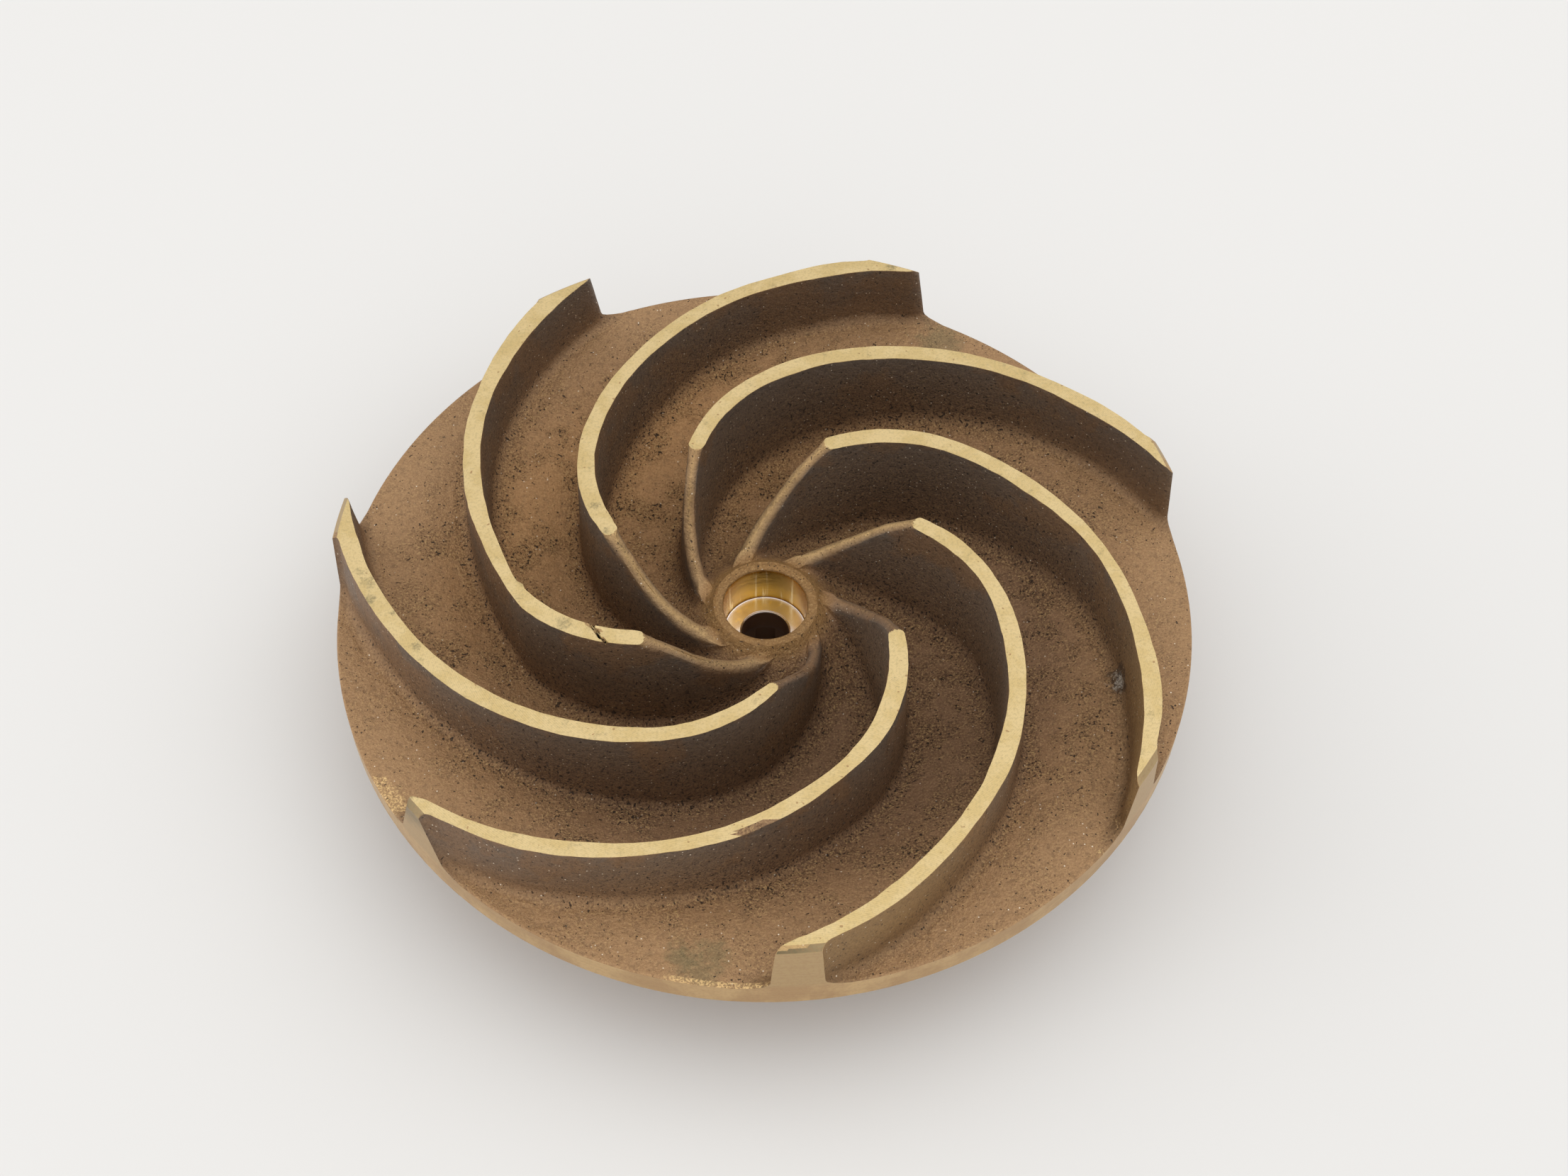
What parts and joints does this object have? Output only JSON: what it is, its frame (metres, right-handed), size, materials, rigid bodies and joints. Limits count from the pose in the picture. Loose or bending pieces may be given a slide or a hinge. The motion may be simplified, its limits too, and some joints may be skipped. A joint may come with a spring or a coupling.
{
  "type": "semi-open pump impeller",
  "caption": "One-piece cast bronze semi-open impeller with backward-curved vanes on a dished disc, turned vane tops and rim, and a stepped bore for a keyed shaft and its end bolt",
  "frame": {"origin": "centre of the flat rear hub face, on the shaft axis", "axes": "+Z along the shaft towards the vanes; +X and +Y across the disc; the vanes run outwards clockwise seen from +Z"},
  "size_m": [0.2, 0.2, 0.051],
  "materials": {
    "cast_bronze": "sand-cast bronze, brown and grainy, with turned faces bright and pale gold"
  },
  "bodies": {
    "root": {"impeller": "cast_bronze"}
  },
  "joints": []
}
